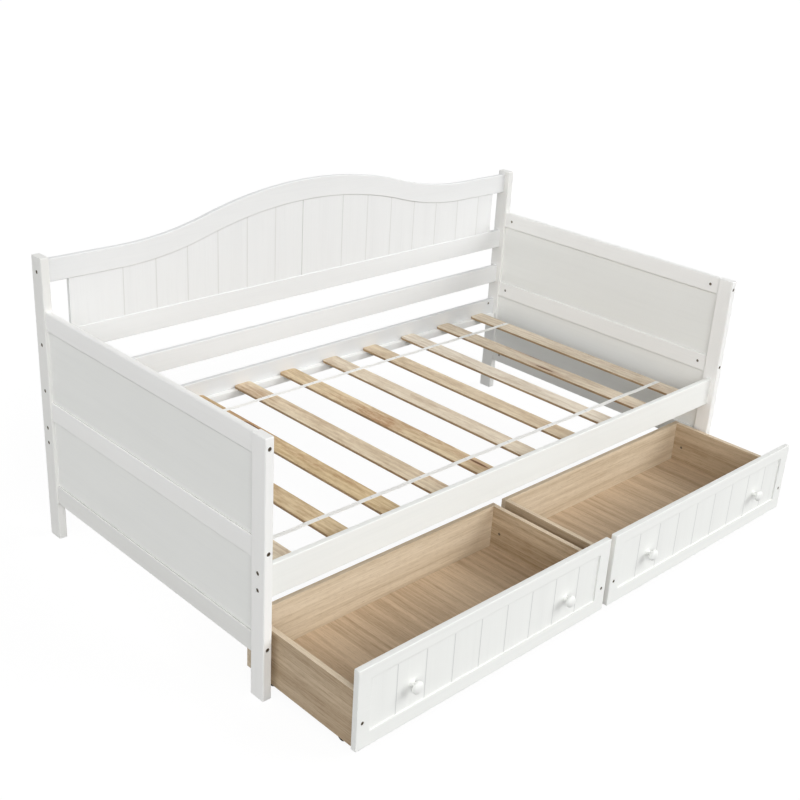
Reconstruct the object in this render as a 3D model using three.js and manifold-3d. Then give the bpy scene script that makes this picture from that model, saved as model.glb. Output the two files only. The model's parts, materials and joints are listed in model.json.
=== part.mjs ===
import * as THREE from 'three';
import { mergeVertices } from 'three/addons/utils/BufferGeometryUtils.js';
import Module from 'manifold-3d';

const wasm = await Module();
wasm.setup();

// A white wooden daybed for a single mattress, with an arched back, two panelled arms,
// a deck of ten slats and two drawers that roll freely on the floor under it.
// Sizes are millimetres. X runs along the bed, the back is at +Y, the drawers open towards -Y.
// The drawers are modelled pulled out, and each one's slide starts from there.

// Overall sizes
const bedLength = 2000;
const bedDepth = 1078;
const armHeight = 747;
const backHeight = 906;

// Clearances
const seat = 0.3;
const overrun = 4;

// Posts
const postAcross = 27;
const postDeep = 53;
const postCorner = 3.5;
const postEndEase = 2.5;

// Rails of the frame
const railThickness = 18;
const railCorner = 2.5;

// Arms: three rails with two thin panels held in grooves
const armRailHeight = 60;
const armMiddleRailBottom = 404;
const armBottomRailBottom = 125;
const armTopCorner = 5;
const armPanelThickness = 6;
const armGrooveDepth = 8;

// Back: the arched crest, the board panel under it, and two straight rails
const crestHeight = 69;
const crestDrop = 11;
const crestRise = 109;
const crestLevelEnd = 233;
const shoulderSpan = 320;
const crestEase = 2.5;
const backLowerRailBottom = 604;
const backLowerRailHeight = 70;
const backMiddleRailBottom = 459;
const backMiddleRailHeight = 69;
const backSlotLeft = 68;
const backSlotRight = 61;
const backPanelThickness = 12;
const tongueThickness = 6;
const tongueLength = 8;
const backBoardWidth = 115;
const wideBoardWidth = 177;
const wideBoardLeft = -36;
const backBoardsEachSide = 7;

// V grooves between the boards of the back and of the drawer fronts
const veeWidth = 3.5;
const veeDepth = 2.5;

// Side rails and the ledgers that carry the slats
const sideRailBottom = 293;
const sideRailHeight = 95;
const ledgerDeep = 20;
const ledgerHeight = 25;
const ledgerEndGap = 12;
const ledgerCorner = 1.5;

// Slats and the two tapes that space them
const slatCount = 10;
const slatEndGap = 68.7;
const slatWidth = 68;
const slatThickness = 10;
const slatCorner = 2.5;
const slatEndRadius = 12;
const slatDeckTop = 340;
const tapeWidth = 15;
const tapeThickness = 1.2;
const tapeInset = 181;
const tapeEndGap = 6;

// Bolts enter the posts in shallow round recesses and pull on barrel nuts in the rails
const boltRecessRadius = 6.2;
const boltRecessDepth = 4;
const barrelRadius = 5;
const barrelDepth = 11;
const barrelFromEnd = 32.5;
const sideRailBolts = [31, 80];

// Drawers
const drawerPostClearance = 5;
const drawerMiddleGap = 22;
const drawerPull = 334;
const drawerDepth = 437;
const drawerFloorGap = 29;
const drawerFrontHeight = 235;
const drawerFrontThickness = 18;
const drawerFrontCorner = 3;
const drawerFrontEase = 2;
const drawerStile = 44;
const drawerLowerRail = 44;
const drawerUpperRail = 38;
const drawerPanelThickness = 9;
const drawerPanelSetback = 5;
const drawerPanelGroove = 8;
const drawerBoardWidth = 99;
const drawerVees = 8;
const drawerSideInset = 9;
const drawerBoardThickness = 15;
const drawerBoardRise = 163;
const drawerBoardDrop = 2.5;
const drawerBoardCorner = 1;
const drawerBottomThickness = 6;
const drawerBottomLift = 15;
const drawerBottomGroove = 6;
const drawerBoltHeight = 78;
const drawerBoltInset = 18.7;
const drawerBoltRadius = 5.5;
const drawerBoltDepth = 3;
const drawerBarrelFromEnd = 33;
const drawerBarrelRadius = 5;
const drawerBarrelDepth = 9;

// Knobs, turned to a mushroom shape
const knobRadius = 17.5;
const knobLength = 30;
const knobFromMiddle = 295;
const knobHeight = 111;
const knobProfileShares = [
  [0, 0], [0.5, 0], [0.52, 0.06], [0.4, 0.16], [0.37, 0.34], [0.62, 0.48],
  [0.93, 0.6], [1, 0.72], [0.88, 0.87], [0.52, 0.97], [0, 1],
];

// Castors: a forked bracket under each corner of a drawer, with a plain wheel
const wheelRadius = 16;
const wheelWidth = 14;
const wheelShoulder = 2;
const hubRadius = 8;
const hubRecess = 1.2;
const axleRadius = 3;
const wheelSidePlay = 0.3;
const cheekThickness = 1;
const cheekTopLength = 34;
const cheekFootRadius = 6;
const bracketPlateThickness = 2.5;
const bracketWallGap = 0.3;
const castorFromFace = 80;

// Fineness of the round forms
const cornerSteps = 2;
const easeSteps = 2;
const waveSteps = 12;
const holeSides = 12;
const wheelSides = 18;
const knobSides = 18;
const cheekFootSteps = 5;

// Paint, timber, plastic and tape
const whitePaint = { color: 0xf1f1ee, roughness: 0.45, metalness: 0 };
const pine = { color: 0xc89a66, roughness: 0.65, metalness: 0 };
const oakVeneer = { color: 0xbb9670, roughness: 0.6, metalness: 0 };
const blackPlastic = { color: 0x1c1b1a, roughness: 0.5, metalness: 0 };
const whiteTape = { color: 0xe6e4dd, roughness: 0.85, metalness: 0 };

// Places that follow from the sizes above
const postX = (bedLength - postAcross) / 2;
const postY = (bedDepth - postDeep) / 2;
const betweenPosts = bedLength - 2 * postAcross;
const armSpan = bedDepth - 2 * postDeep;
const longRailLength = betweenPosts - 2 * seat;
const armTopRailBottom = armHeight - armRailHeight;
const backPanelEnds = { left: backSlotLeft - betweenPosts / 2, right: betweenPosts / 2 - backSlotRight };
const crestEnds = { left: -longRailLength / 2, right: longRailLength / 2 };
const crownHalfSpan = betweenPosts / 2 - crestLevelEnd - shoulderSpan;
const crestTop = backHeight - crestDrop;
const crestBottom = crestTop - crestHeight;
const backLowerRailTop = backLowerRailBottom + backLowerRailHeight;
const railInnerFace = postY - railThickness / 2;
const ledgerTop = slatDeckTop - slatThickness - seat;
const slatLength = 2 * (railInnerFace - seat);
const deckLength = betweenPosts - 2 * slatEndGap;
const slatPitch = (deckLength - slatWidth) / (slatCount - 1);
const drawerWidth = (betweenPosts - 2 * drawerPostClearance - drawerMiddleGap) / 2;
const drawerX = (drawerWidth + drawerMiddleGap) / 2;
const closedFaceY = -(postY + railThickness / 2);
const drawerFaceY = closedFaceY - drawerPull;
const drawerInnerHalf = drawerWidth / 2 - drawerSideInset - drawerBoardThickness;
const drawerBottomZ = drawerFloorGap + drawerBottomLift;
const drawerBoardHeight = drawerBoardRise + drawerBoardDrop;
const drawerBoardZ = drawerFloorGap - drawerBoardDrop + drawerBoardHeight / 2;
const knobReach = knobLength + seat - drawerPanelSetback;
const originShift = (knobReach - drawerFaceY - bedDepth / 2) / 2;

// How an extrusion along its own Z is turned to run along an axis of the bed
const runs = {
  x: { outline: ['y', 'z'], turn: basis([0, 1, 0], [0, 0, 1], [1, 0, 0]) },
  y: { outline: ['x', 'z'], turn: basis([1, 0, 0], [0, 0, 1], [0, -1, 0]) },
  z: { outline: ['x', 'y'], turn: new THREE.Matrix4() },
};

// How a cylinder or turned form, made about Y, is turned to stand along an axis of the bed
const turnedOnto = {
  x: new THREE.Matrix4().makeRotationZ(-Math.PI / 2),
  y: new THREE.Matrix4(),
  z: new THREE.Matrix4().makeRotationX(Math.PI / 2),
};

function basis(first, second, third) {
  return new THREE.Matrix4().makeBasis(
    new THREE.Vector3(...first),
    new THREE.Vector3(...second),
    new THREE.Vector3(...third),
  );
}

function vector(x, y, z) {
  return new THREE.Vector3(x, y, z);
}

// Closed solids for cutting and joining

function solidOf(geometry) {
  const shell = geometry.index ? geometry.toNonIndexed() : geometry.clone();
  shell.deleteAttribute('normal');
  shell.deleteAttribute('uv');
  const merged = mergeVertices(shell);
  const corners = merged.index.array;
  const kept = [];
  for (let i = 0; i < corners.length; i += 3) {
    const [a, b, c] = [corners[i], corners[i + 1], corners[i + 2]];
    if (a !== b && b !== c && c !== a) kept.push(a, b, c);
  }
  return new wasm.Manifold(new wasm.Mesh({
    numProp: 3,
    vertProperties: merged.attributes.position.array,
    triVerts: Uint32Array.from(kept),
  }));
}

function geometryOf(solid) {
  const mesh = solid.getMesh();
  const indexed = new THREE.BufferGeometry();
  indexed.setAttribute('position', new THREE.BufferAttribute(mesh.vertProperties, 3));
  indexed.setIndex(new THREE.BufferAttribute(mesh.triVerts, 1));
  const geometry = indexed.toNonIndexed();
  geometry.computeVertexNormals();
  return geometry;
}

function cutAll(solid, tools) {
  return tools.reduce((rest, tool) => rest.subtract(tool), solid);
}

function joinAll(solids) {
  return solids.reduce((whole, solid) => whole.add(solid));
}

// Forms that more than one piece uses

function roundedOutline(width, height, radius) {
  const points = [];
  for (let corner = 0; corner < 4; corner += 1) {
    const right = corner === 0 || corner === 3 ? 1 : -1;
    const up = corner < 2 ? 1 : -1;
    for (let step = 0; step <= cornerSteps; step += 1) {
      const angle = ((corner + step / cornerSteps) * Math.PI) / 2;
      points.push(new THREE.Vector2(
        right * (width / 2 - radius) + radius * Math.cos(angle),
        up * (height / 2 - radius) + radius * Math.sin(angle),
      ));
    }
  }
  return points;
}

// An outline extruded along an axis, its ends rounded over by ease, with its middle at centre.
function prism(axis, outline, length, { ease = 0, centre = vector(0, 0, 0), hole = null } = {}) {
  const shape = new THREE.Shape(outline);
  if (hole) shape.holes.push(new THREE.Path(hole));
  const straight = length - 2 * ease;
  const geometry = new THREE.ExtrudeGeometry(shape, {
    depth: straight,
    bevelEnabled: ease > 0,
    bevelThickness: ease,
    bevelSize: ease,
    bevelOffset: -ease,
    bevelSegments: easeSteps,
  });
  geometry.translate(0, 0, -straight / 2);
  geometry.applyMatrix4(runs[axis].turn);
  geometry.translate(centre.x, centre.y, centre.z);
  return solidOf(geometry);
}

// A bar with rounded long edges.
function bar(axis, size, corner, centre, ease = 0) {
  const [across, up] = runs[axis].outline;
  return prism(axis, roundedOutline(size[across], size[up], corner), size[axis], { ease, centre });
}

function block({ size, centre }, grown = 0) {
  const geometry = new THREE.BoxGeometry(size.x + 2 * grown, size.y + 2 * grown, size.z + 2 * grown);
  geometry.translate(centre.x, centre.y, centre.z);
  return solidOf(geometry);
}

// A blind round hole that opens at mouth, on a face that looks along the axis in the direction outward.
function recess(axis, outward, mouth, radius, depth) {
  const geometry = new THREE.CylinderGeometry(radius, radius, depth + overrun, holeSides);
  geometry.applyMatrix4(turnedOnto[axis]);
  const middle = mouth.clone();
  middle[axis] += (outward * (overrun - depth)) / 2;
  geometry.translate(middle.x, middle.y, middle.z);
  return solidOf(geometry);
}

// An upright V groove in a face that looks towards -Y.
function veeGroove(x, faceY, bottom, top) {
  const outline = [
    new THREE.Vector2(x - veeWidth / 2, faceY),
    new THREE.Vector2(x - veeWidth / 2, faceY - overrun),
    new THREE.Vector2(x + veeWidth / 2, faceY - overrun),
    new THREE.Vector2(x + veeWidth / 2, faceY),
    new THREE.Vector2(x, faceY + veeDepth),
  ];
  return prism('z', outline, top - bottom, { centre: vector(0, 0, (top + bottom) / 2) });
}

function place(group, name, solid, finish, centre) {
  const geometry = geometryOf(solid);
  geometry.translate(-centre.x, -centre.y, -centre.z);
  const mesh = new THREE.Mesh(geometry, new THREE.MeshStandardMaterial(finish));
  mesh.name = name;
  mesh.position.copy(centre);
  group.add(mesh);
}

// Arms

function armPanel(side, bottomRailTop, upperRailBottom) {
  const height = upperRailBottom - bottomRailTop + 2 * armGrooveDepth;
  return {
    size: vector(armPanelThickness, armSpan + 2 * armGrooveDepth, height),
    centre: vector(side * postX, 0, (bottomRailTop + upperRailBottom) / 2),
  };
}

function armPanels(side) {
  return {
    lower: armPanel(side, armBottomRailBottom + armRailHeight, armMiddleRailBottom),
    upper: armPanel(side, armMiddleRailBottom + armRailHeight, armTopRailBottom),
  };
}

function addArm(group, side) {
  const name = side < 0 ? 'left_arm' : 'right_arm';
  const panels = armPanels(side);
  const grooves = Object.values(panels).map((panel) => block(panel, seat));
  const rails = {
    top_rail: { bottom: armTopRailBottom, corner: armTopCorner },
    middle_rail: { bottom: armMiddleRailBottom, corner: railCorner },
    bottom_rail: { bottom: armBottomRailBottom, corner: railCorner },
  };
  for (const [rail, { bottom, corner }] of Object.entries(rails)) {
    const centre = vector(side * postX, 0, bottom + armRailHeight / 2);
    const size = vector(railThickness, armSpan - 2 * seat, armRailHeight);
    const innerFace = side * (postX - railThickness / 2);
    const barrels = [-1, 1].map((end) => recess(
      'x', -side,
      vector(innerFace, end * (armSpan / 2 - barrelFromEnd), centre.z),
      barrelRadius, barrelDepth,
    ));
    const body = cutAll(bar('y', size, corner, centre), [...grooves, ...barrels]);
    place(group, `${name}_${rail}`, body, whitePaint, centre);
  }
  for (const [level, panel] of Object.entries(panels)) {
    place(group, `${name}_${level}_panel`, block(panel), whitePaint, panel.centre);
  }
}

// Posts

function postBoltHeights(end) {
  const sideRail = sideRailBolts.map((height) => sideRailBottom + height);
  if (end < 0) return sideRail;
  return [
    ...sideRail,
    backMiddleRailBottom + backMiddleRailHeight / 2,
    backLowerRailBottom + backLowerRailHeight / 2,
    crestBottom + crestHeight / 2,
  ];
}

function addPost(group, side, end) {
  const height = end < 0 ? armHeight : backHeight;
  const centre = vector(side * postX, end * postY, height / 2);
  const size = vector(postAcross, postDeep, height);
  const grooves = Object.values(armPanels(side)).map((panel) => block(panel, seat));
  const sideBolts = postBoltHeights(end).map((z) => recess(
    'x', side, vector(side * (bedLength / 2), end * postY, z), boltRecessRadius, boltRecessDepth,
  ));
  const armBolts = [armBottomRailBottom, armMiddleRailBottom, armTopRailBottom].map((bottom) => recess(
    'y', end,
    vector(side * postX, end * (bedDepth / 2), bottom + armRailHeight / 2),
    boltRecessRadius, boltRecessDepth,
  ));
  const post = bar('z', size, postCorner, centre, postEndEase);
  const body = cutAll(post, [...grooves, ...sideBolts, ...armBolts]);
  const name = `${end < 0 ? 'front' : 'rear'}_${side < 0 ? 'left' : 'right'}_post`;
  place(group, name, body, whitePaint, centre);
}

// Back

// Barrel nut holes near both ends of a long rail, in the face that looks along Y in the direction outward.
function railBarrels(y, outward, heights) {
  const face = y + outward * (railThickness / 2);
  const along = betweenPosts / 2 - barrelFromEnd;
  return [-1, 1].flatMap((side) => heights.map((z) => recess(
    'y', outward, vector(side * along, face, z), barrelRadius, barrelDepth,
  )));
}

function addStraightRail(group, name, y, bottom, height, cuts) {
  const centre = vector(0, y, bottom + height / 2);
  const size = vector(longRailLength, railThickness, height);
  place(group, name, cutAll(bar('x', size, railCorner, centre), cuts), whitePaint, centre);
}

// The wave of the crest from left to right: level ends, a hollow shoulder and the crown,
// each an arc that meets the next without a kink, with its ends at the height base.
function crestWave(base, ends) {
  const slope = 2 * Math.atan(crestRise / (crownHalfSpan + shoulderSpan));
  const crownRadius = crownHalfSpan / Math.sin(slope);
  const shoulderRadius = shoulderSpan / Math.sin(slope);
  const right = [];
  for (let step = 0; step <= waveSteps; step += 1) {
    const angle = (slope * step) / waveSteps;
    right.push([crownRadius * Math.sin(angle), crestRise - crownRadius * (1 - Math.cos(angle))]);
  }
  for (let step = 1; step <= waveSteps; step += 1) {
    const angle = slope * (1 - step / waveSteps);
    const x = crownHalfSpan + shoulderSpan - shoulderRadius * Math.sin(angle);
    right.push([x, shoulderRadius * (1 - Math.cos(angle))]);
  }
  const left = right.slice(1).reverse().map(([x, z]) => [-x, z]);
  const wave = [[ends.left, 0], ...left, ...right, [ends.right, 0]];
  return wave.map(([x, z]) => new THREE.Vector2(x, base + z));
}

// The space between two waves, or between a wave and a level line below it.
function underWave(ends, top, bottom, levelBottom) {
  const upper = crestWave(top, ends);
  const lower = levelBottom
    ? [new THREE.Vector2(ends.left, bottom), new THREE.Vector2(ends.right, bottom)]
    : crestWave(bottom, ends);
  return [...upper, ...lower.reverse()];
}

function addBack(group) {
  const backCentre = vector(0, postY, 0);
  const grooveThickness = tongueThickness + 2 * seat;
  const grooveEnds = { left: backPanelEnds.left - seat, right: backPanelEnds.right + seat };
  const panelX = (backPanelEnds.left + backPanelEnds.right) / 2;
  const crestGroove = prism(
    'y',
    underWave(grooveEnds, crestBottom + tongueLength + seat, crestBottom - overrun, false),
    grooveThickness,
    { centre: backCentre },
  );
  const crest = prism('y', underWave(crestEnds, crestTop, crestBottom, false), railThickness, {
    ease: crestEase,
    centre: backCentre,
  });
  const crestBarrels = railBarrels(postY, 1, [crestBottom + crestHeight / 2]);
  const crestMiddle = vector(0, postY, (crestBottom + crestTop + crestRise) / 2);
  place(group, 'crest_rail', cutAll(crest, [crestGroove, ...crestBarrels]), whitePaint, crestMiddle);

  const railGroove = block({
    size: vector(grooveEnds.right - grooveEnds.left, grooveThickness, tongueLength + seat + overrun),
    centre: vector(panelX, postY, backLowerRailTop + (overrun - tongueLength - seat) / 2),
  });
  const lowerBarrels = railBarrels(postY, 1, [backLowerRailBottom + backLowerRailHeight / 2]);
  addStraightRail(group, 'back_lower_rail', postY, backLowerRailBottom, backLowerRailHeight, [
    railGroove, ...lowerBarrels,
  ]);
  const middleBarrels = railBarrels(postY, 1, [backMiddleRailBottom + backMiddleRailHeight / 2]);
  addStraightRail(
    group, 'back_middle_rail', postY, backMiddleRailBottom, backMiddleRailHeight, middleBarrels,
  );

  const field = prism(
    'y', underWave(backPanelEnds, crestBottom - seat, backLowerRailTop + seat, true), backPanelThickness,
    { centre: backCentre },
  );
  const tongue = prism(
    'y', underWave(backPanelEnds, crestBottom + tongueLength, backLowerRailTop - tongueLength, true),
    tongueThickness, { centre: backCentre },
  );
  const vees = [];
  for (let board = 0; board < backBoardsEachSide; board += 1) {
    for (const x of [
      wideBoardLeft - board * backBoardWidth,
      wideBoardLeft + wideBoardWidth + board * backBoardWidth,
    ]) {
      vees.push(veeGroove(x, postY - backPanelThickness / 2, backLowerRailBottom, crestTop + crestRise));
    }
  }
  const panelMiddle = vector(panelX, postY, (backLowerRailTop + crestBottom) / 2);
  place(group, 'back_panel', cutAll(joinAll([field, tongue]), vees), whitePaint, panelMiddle);
}

// Side rails, ledgers, slats and tapes

function addSide(group, end) {
  const name = end < 0 ? 'front' : 'rear';
  const barrels = railBarrels(end * postY, -end, sideRailBolts.map((height) => sideRailBottom + height));
  addStraightRail(group, `${name}_side_rail`, end * postY, sideRailBottom, sideRailHeight, barrels);

  const ledgerCentre = vector(
    0,
    end * (railInnerFace - seat - ledgerDeep / 2),
    ledgerTop - ledgerHeight / 2,
  );
  const ledgerSize = vector(longRailLength - 2 * ledgerEndGap, ledgerDeep, ledgerHeight);
  const ledger = bar('x', ledgerSize, ledgerCorner, ledgerCentre);
  place(group, `${name}_slat_ledger`, ledger, whitePaint, ledgerCentre);

  const tapeCentre = vector(
    0,
    end * (bedDepth / 2 - tapeInset),
    slatDeckTop + seat + tapeThickness / 2,
  );
  const tapeSize = vector(deckLength - 2 * tapeEndGap, tapeWidth, tapeThickness);
  place(group, `${name}_slat_tape`, block({ size: tapeSize, centre: tapeCentre }), whiteTape, tapeCentre);
}

// Slats have round corners at their ends, and all their edges are eased.
function addSlats(group) {
  const outline = roundedOutline(slatWidth, slatLength, slatEndRadius);
  for (let slat = 0; slat < slatCount; slat += 1) {
    const x = (slat - (slatCount - 1) / 2) * slatPitch;
    const centre = vector(x, 0, slatDeckTop - slatThickness / 2);
    const name = `slat_${String(slat + 1).padStart(2, '0')}`;
    place(group, name, prism('z', outline, slatThickness, { ease: slatCorner, centre }), pine, centre);
  }
}

// Drawers. In a drawer's own frame x is measured from its middle and y from its front face, backwards.

function drawerPanel() {
  const width = drawerWidth - 2 * drawerStile;
  const bottom = drawerFloorGap + drawerLowerRail;
  const top = drawerFloorGap + drawerFrontHeight - drawerUpperRail;
  return {
    size: vector(
      width + 2 * drawerPanelGroove,
      drawerPanelThickness,
      top - bottom + 2 * drawerPanelGroove,
    ),
    centre: vector(0, drawerPanelSetback + drawerPanelThickness / 2, (top + bottom) / 2),
  };
}

function drawerBottomBoard() {
  const front = drawerFrontThickness - drawerBottomGroove;
  const rear = drawerDepth - drawerBoardThickness + drawerBottomGroove;
  return {
    size: vector(2 * (drawerInnerHalf + drawerBottomGroove), rear - front, drawerBottomThickness),
    centre: vector(0, (front + rear) / 2, drawerBottomZ + drawerBottomThickness / 2),
  };
}

function addDrawerFront(group, name) {
  const middleZ = drawerFloorGap + drawerFrontHeight / 2;
  const openingLift = (drawerLowerRail - drawerUpperRail) / 2;
  const openingWidth = drawerWidth - 2 * drawerStile;
  const openingHeight = drawerFrontHeight - drawerLowerRail - drawerUpperRail;
  const opening = [[-1, -1], [1, -1], [1, 1], [-1, 1]].map(([right, up]) => new THREE.Vector2(
    (right * openingWidth) / 2,
    (up * openingHeight) / 2 + openingLift,
  ));
  const centre = vector(0, drawerFrontThickness / 2, middleZ);
  const outline = roundedOutline(drawerWidth, drawerFrontHeight, drawerFrontCorner);
  const frame = prism('y', outline, drawerFrontThickness, { ease: drawerFrontEase, centre, hole: opening });
  const bolts = [-1, 1].map((side) => recess(
    'y', -1,
    vector(side * (drawerWidth / 2 - drawerBoltInset), 0, drawerFloorGap + drawerBoltHeight),
    drawerBoltRadius, drawerBoltDepth,
  ));
  const cuts = [block(drawerPanel(), seat), block(drawerBottomBoard(), seat), ...bolts];
  place(group, `${name}_front_frame`, cutAll(frame, cuts), whitePaint, centre);

  const panel = drawerPanel();
  const vees = [];
  for (let vee = 0; vee < drawerVees; vee += 1) {
    const x = (vee - (drawerVees - 1) / 2) * drawerBoardWidth;
    vees.push(veeGroove(x, drawerPanelSetback, 0, drawerFloorGap + drawerFrontHeight));
  }
  place(group, `${name}_front_panel`, cutAll(block(panel), vees), whitePaint, panel.centre);
}

function addDrawerBox(group, name) {
  const front = drawerFrontThickness + seat;
  const rear = drawerDepth - drawerBoardThickness - seat;
  const groove = block(drawerBottomBoard(), seat);
  for (const side of [-1, 1]) {
    const boardX = side * (drawerInnerHalf + drawerBoardThickness / 2);
    const centre = vector(boardX, (front + rear) / 2, drawerBoardZ);
    const size = vector(drawerBoardThickness, rear - front, drawerBoardHeight);
    const barrels = [
      drawerFrontThickness + drawerBarrelFromEnd,
      drawerDepth - drawerBoardThickness - drawerBarrelFromEnd,
    ].map((y) => recess(
      'x', -side,
      vector(side * drawerInnerHalf, y, drawerFloorGap + drawerBoltHeight),
      drawerBarrelRadius, drawerBarrelDepth,
    ));
    const board = cutAll(bar('y', size, drawerBoardCorner, centre), [groove, ...barrels]);
    place(group, `${name}_${side < 0 ? 'left' : 'right'}_side`, board, oakVeneer, centre);
  }
  const backCentre = vector(0, drawerDepth - drawerBoardThickness / 2, drawerBoardZ);
  const backSize = vector(drawerWidth - 2 * drawerSideInset, drawerBoardThickness, drawerBoardHeight);
  const bolts = [-1, 1].map((side) => recess(
    'y', 1,
    vector(
      side * (drawerInnerHalf + drawerBoardThickness / 2),
      drawerDepth,
      drawerFloorGap + drawerBoltHeight,
    ),
    drawerBoltRadius, drawerBoltDepth,
  ));
  const back = cutAll(bar('x', backSize, drawerBoardCorner, backCentre), [groove, ...bolts]);
  place(group, `${name}_back`, back, oakVeneer, backCentre);
}

function castorPlaces() {
  const forkHalf = wheelWidth / 2 + wheelSidePlay + cheekThickness;
  const places = [];
  for (const end of [-1, 1]) {
    for (const side of [-1, 1]) {
      places.push({
        name: `${end < 0 ? 'front' : 'rear'}_${side < 0 ? 'left' : 'right'}`,
        centre: vector(
          side * (drawerInnerHalf - bracketWallGap - forkHalf),
          drawerDepth / 2 + end * (drawerDepth / 2 - castorFromFace),
          wheelRadius,
        ),
      });
    }
  }
  return places;
}

// The cheek's side view: a level top that narrows to a round foot about the axle.
function cheekOutline(top) {
  const tangent = Math.asin(cheekFootRadius / Math.hypot(cheekTopLength / 2, top - wheelRadius));
  const sweep = Math.PI / 2 + tangent;
  const points = [new THREE.Vector2(cheekTopLength / 2, top), new THREE.Vector2(-cheekTopLength / 2, top)];
  for (let step = 0; step <= cheekFootSteps; step += 1) {
    const angle = -Math.PI / 2 - sweep / 2 + (sweep * step) / cheekFootSteps;
    points.push(new THREE.Vector2(
      cheekFootRadius * Math.cos(angle),
      wheelRadius + cheekFootRadius * Math.sin(angle),
    ));
  }
  return points;
}

function castorBracket(centre) {
  const forkWidth = wheelWidth + 2 * (wheelSidePlay + cheekThickness);
  const plate = block({
    size: vector(forkWidth, cheekTopLength, bracketPlateThickness + drawerBottomThickness / 2),
    centre: vector(
      centre.x, centre.y,
      drawerBottomZ + (drawerBottomThickness / 2 - bracketPlateThickness) / 2,
    ),
  });
  const cheeks = [-1, 1].map((side) => prism(
    'x', cheekOutline(drawerBottomZ + drawerBottomThickness / 2), cheekThickness,
    { centre: vector(centre.x + (side * (forkWidth - cheekThickness)) / 2, centre.y, 0) },
  ));
  const axle = new THREE.CylinderGeometry(axleRadius, axleRadius, forkWidth, holeSides);
  axle.applyMatrix4(turnedOnto.x);
  axle.translate(centre.x, centre.y, centre.z);
  return joinAll([plate, ...cheeks, solidOf(axle)]);
}

function addDrawerBottom(group, name) {
  const board = drawerBottomBoard();
  const brackets = castorPlaces().map(({ centre }) => castorBracket(centre));
  place(group, `${name}_bottom`, joinAll([block(board), ...brackets]), oakVeneer, board.centre);
}

// A turned form from a profile of [radius, height] pairs, standing along an axis.
function turned(profile, sides, axis) {
  const geometry = new THREE.LatheGeometry(profile.map(([r, h]) => new THREE.Vector2(r, h)), sides);
  geometry.applyMatrix4(turnedOnto[axis]);
  return geometry;
}

function wheel() {
  const bore = axleRadius + seat;
  const half = wheelWidth / 2;
  const profile = [
    [bore, half - hubRecess],
    [bore, hubRecess - half],
    [hubRadius, hubRecess - half],
    [hubRadius + hubRecess, -half],
    [wheelRadius - wheelShoulder, -half],
    [wheelRadius, wheelShoulder - half],
    [wheelRadius, half - wheelShoulder],
    [wheelRadius - wheelShoulder, half],
    [hubRadius + hubRecess, half],
    [hubRadius, half - hubRecess],
    [bore, half - hubRecess],
  ];
  return solidOf(turned(profile, wheelSides, 'x'));
}

function knob(centre) {
  const profile = knobProfileShares.map(([r, h]) => [r * knobRadius, h * knobLength]);
  const geometry = turned(profile, knobSides, 'y');
  geometry.rotateX(Math.PI);
  geometry.translate(centre.x, centre.y, centre.z);
  return solidOf(geometry);
}

function addDrawer(group, side) {
  const name = side < 0 ? 'left_drawer' : 'right_drawer';
  const drawer = new THREE.Group();
  drawer.position.set(side * drawerX, drawerFaceY, 0);
  addDrawerFront(drawer, name);
  addDrawerBox(drawer, name);
  addDrawerBottom(drawer, name);
  for (const end of [-1, 1]) {
    const base = vector(end * knobFromMiddle, drawerPanelSetback - seat, drawerFloorGap + knobHeight);
    place(drawer, `${name}_${end < 0 ? 'left' : 'right'}_knob`, knob(base), whitePaint, base);
  }
  for (const castor of castorPlaces()) {
    const mesh = new THREE.Mesh(geometryOf(wheel()), new THREE.MeshStandardMaterial(blackPlastic));
    mesh.name = `${name}_${castor.name}_wheel`;
    mesh.position.copy(castor.centre);
    drawer.add(mesh);
  }
  group.add(drawer);
}

// The whole daybed, with its origin on the floor at the middle of the space that it takes up.

const daybed = new THREE.Group();
daybed.name = 'daybed';
daybed.position.y = originShift;
for (const side of [-1, 1]) {
  addPost(daybed, side, -1);
  addPost(daybed, side, 1);
  addArm(daybed, side);
}
addBack(daybed);
addSide(daybed, -1);
addSide(daybed, 1);
addSlats(daybed);
addDrawer(daybed, -1);
addDrawer(daybed, 1);

export default daybed;
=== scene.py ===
# %% [markdown]
# # A white daybed with two drawers
#
# This lesson dresses a finished frame. The frame holds every board of the bed at its real size:
# posts, rails, panels, slats and drawers. What is left to do here is what the eye needs: paint
# that looks like paint, pine with rings and knots, smooth turned knobs, bolts, castors and tape.
# The frame is loaded first, because each new piece takes its place from a piece of the frame.

# %% Load the frame
import json
import math

import bpy
from mathutils import Matrix, Vector


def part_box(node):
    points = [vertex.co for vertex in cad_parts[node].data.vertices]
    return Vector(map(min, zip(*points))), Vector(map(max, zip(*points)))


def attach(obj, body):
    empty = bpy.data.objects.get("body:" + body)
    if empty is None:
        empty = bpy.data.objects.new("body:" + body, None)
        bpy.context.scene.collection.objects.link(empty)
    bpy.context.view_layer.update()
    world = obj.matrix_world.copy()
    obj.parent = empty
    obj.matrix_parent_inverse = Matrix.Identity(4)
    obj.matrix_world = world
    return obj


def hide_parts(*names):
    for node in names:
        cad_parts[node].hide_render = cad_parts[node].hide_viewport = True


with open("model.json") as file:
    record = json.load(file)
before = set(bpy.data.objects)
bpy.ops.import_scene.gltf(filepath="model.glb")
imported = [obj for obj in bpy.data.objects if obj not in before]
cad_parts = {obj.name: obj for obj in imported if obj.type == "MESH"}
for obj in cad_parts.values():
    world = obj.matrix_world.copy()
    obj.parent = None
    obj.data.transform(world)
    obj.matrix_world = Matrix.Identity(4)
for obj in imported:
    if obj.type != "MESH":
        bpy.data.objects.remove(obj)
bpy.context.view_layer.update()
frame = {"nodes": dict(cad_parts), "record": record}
MM = 0.001
nodes = frame["nodes"]

# %% [markdown]
# ## The camera
#
# The picture was taken from the left front corner, a little above eye level, with a normal lens.
# The camera was worked out from the corners of the posts, so it is set by its place and three
# angles: which way it looks, how far down, and a slight roll, because it was not held quite level.

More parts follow.
